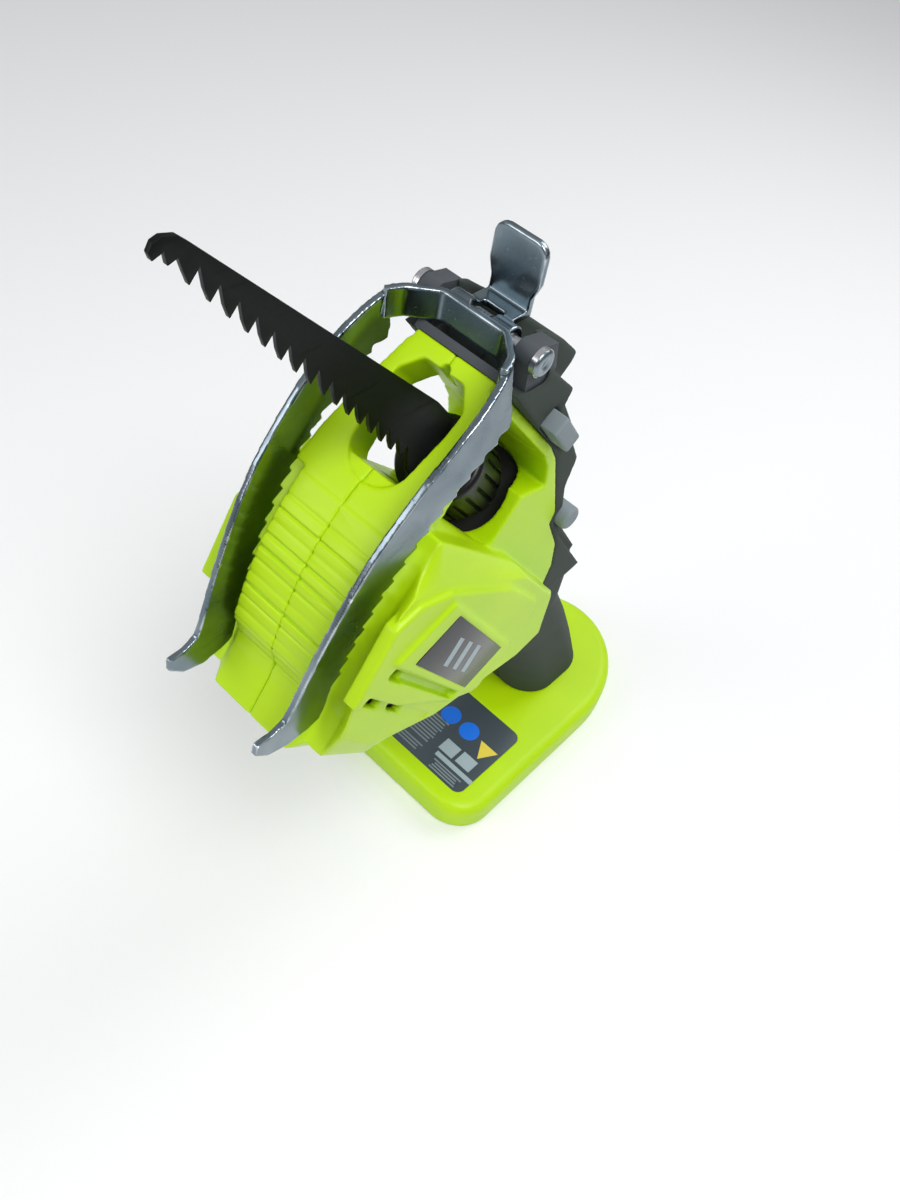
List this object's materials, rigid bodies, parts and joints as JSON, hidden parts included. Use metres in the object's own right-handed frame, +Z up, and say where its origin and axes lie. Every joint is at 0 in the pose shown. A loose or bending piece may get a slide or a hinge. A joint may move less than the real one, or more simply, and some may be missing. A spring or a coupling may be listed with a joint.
{
  "type": "cordless pruning saw",
  "caption": "One-handed cordless pruning saw: reciprocating pruning blade in a moulded clamshell body, hinged sheet-metal branch jaw, sloped pistol grip and wide battery foot.",
  "frame": {"origin": "centre of the battery foot's flat underside, between its sides", "axes": "+Z up through the tool standing on its battery foot, +X forwards to the side the blade leans to, +Y to the tool's left"},
  "size_m": [0.2252, 0.076, 0.2868],
  "materials": {
    "lime_plastic": "moulded nylon, fine satin grain",
    "dark_overmould": "soft-touch elastomer, fine matt grain",
    "slate_bracket": "satin moulded",
    "black_plastic": "satin moulded",
    "zinc_steel": "bright zinc plate",
    "bright_steel": "ground",
    "blade_steel": "black oxide, smooth",
    "boot_rubber": "matt",
    "sintered_bronze": "sintered",
    "cast_alloy": "as cast",
    "ferrite": "sintered",
    "grey_slide": "satin moulded",
    "contact_brass": "rolled",
    "circuit_board": "lacquered",
    "lead_sheath": "smooth",
    "label_film": "printed film",
    "badge_gloss": "smooth gloss",
    "screen_mesh": "woven mesh"
  },
  "bodies": {
    "body": {"housing_left": "lime_plastic", "housing_right": "lime_plastic", "overmould_left": "dark_overmould", "overmould_right": "dark_overmould", "jaw_bracket": "slate_bracket", "foot_shell": "black_plastic", "motor_end_cap": "black_plastic", "switch_module": "black_plastic", "terminal_block": "black_plastic", "hinge_pin": "bright_steel", "jaw_spring": "bright_steel", "gear_axle": "bright_steel", "bearing_plate": "bright_steel", "motor_can": "bright_steel", "motor_bearing": "bright_steel", "trigger_spring": "bright_steel", "housing_screws": "bright_steel", "shaft_boot": "boot_rubber", "front_bush": "sintered_bronze", "rear_bush": "sintered_bronze", "gear_case": "cast_alloy", "motor_magnets": "ferrite", "battery_contacts": "contact_brass", "control_board": "circuit_board", "battery_leads": "lead_sheath", "foot_label": "label_film", "badge_left": "badge_gloss", "badge_right": "badge_gloss", "vent_screen_left": "screen_mesh", "vent_screen_right": "screen_mesh"},
    "jaw": {"jaw_frame": "zinc_steel"},
    "plunger": {"plunger": "bright_steel", "scotch_yoke": "bright_steel", "clamp_hub": "bright_steel", "clamp_pin": "bright_steel", "blade": "blade_steel"},
    "collar": {"clamp_collar": "black_plastic"},
    "trigger": {"trigger": "black_plastic"},
    "lock_button": {"lock_off_button": "black_plastic"},
    "release": {"release_slide": "grey_slide"},
    "crank": {"crank_gear": "bright_steel", "crank_pin": "bright_steel"},
    "rotor": {"rotor": "bright_steel", "motor_pinion": "bright_steel", "cooling_fan": "black_plastic"}
  },
  "joints": [
    {"name": "jaw_hinge", "type": "hinge", "parent": "body", "child": "jaw", "pos_m": [0.06964, 0, 0.23394], "axis": [0, -1, 0], "range_deg": [0, 50], "stiffness_Nm_per_rad": 0.08, "springref_deg": -28.65},
    {"name": "blade_stroke", "type": "slide", "parent": "body", "child": "plunger", "axis": [0.6388, 0, 0.7694], "range_m": [-0.008, 0.008]},
    {"name": "collar_twist", "type": "hinge", "parent": "plunger", "child": "collar", "pos_m": [0.06996, 0, 0.18533], "axis": [0.6388, 0, 0.7694], "range_deg": [0, 35], "stiffness_Nm_per_rad": 0.05, "springref_deg": -22.92},
    {"name": "trigger_pull", "type": "slide", "parent": "body", "child": "trigger", "axis": [-1, 0, 0], "range_m": [0, 0.004], "stiffness_N_per_m": 1200, "springref_m": -0.004, "deforming": ["trigger_spring"]},
    {"name": "lock_press", "type": "slide", "parent": "body", "child": "lock_button", "axis": [0, -1, 0], "range_m": [0, 0.0025], "stiffness_N_per_m": 1500, "springref_m": -0.002},
    {"name": "release_pull", "type": "slide", "parent": "body", "child": "release", "axis": [-0.6388, 0, -0.7694], "range_m": [0, 0.008], "stiffness_N_per_m": 400, "springref_m": -0.005},
    {"name": "crank_spin", "type": "hinge", "parent": "body", "child": "crank", "pos_m": [0.06102, 0, 0.13777], "axis": [-0.7694, 0, 0.6388], "continuous": true},
    {"name": "rotor_spin", "type": "hinge", "parent": "body", "child": "rotor", "pos_m": [0.08846, 0, 0.15047], "axis": [-0.7694, 0, 0.6388], "continuous": true}
  ],
  "couplings": [
    {"joint": "rotor_spin", "follows": "crank_spin", "ratio": -5.5}
  ]
}
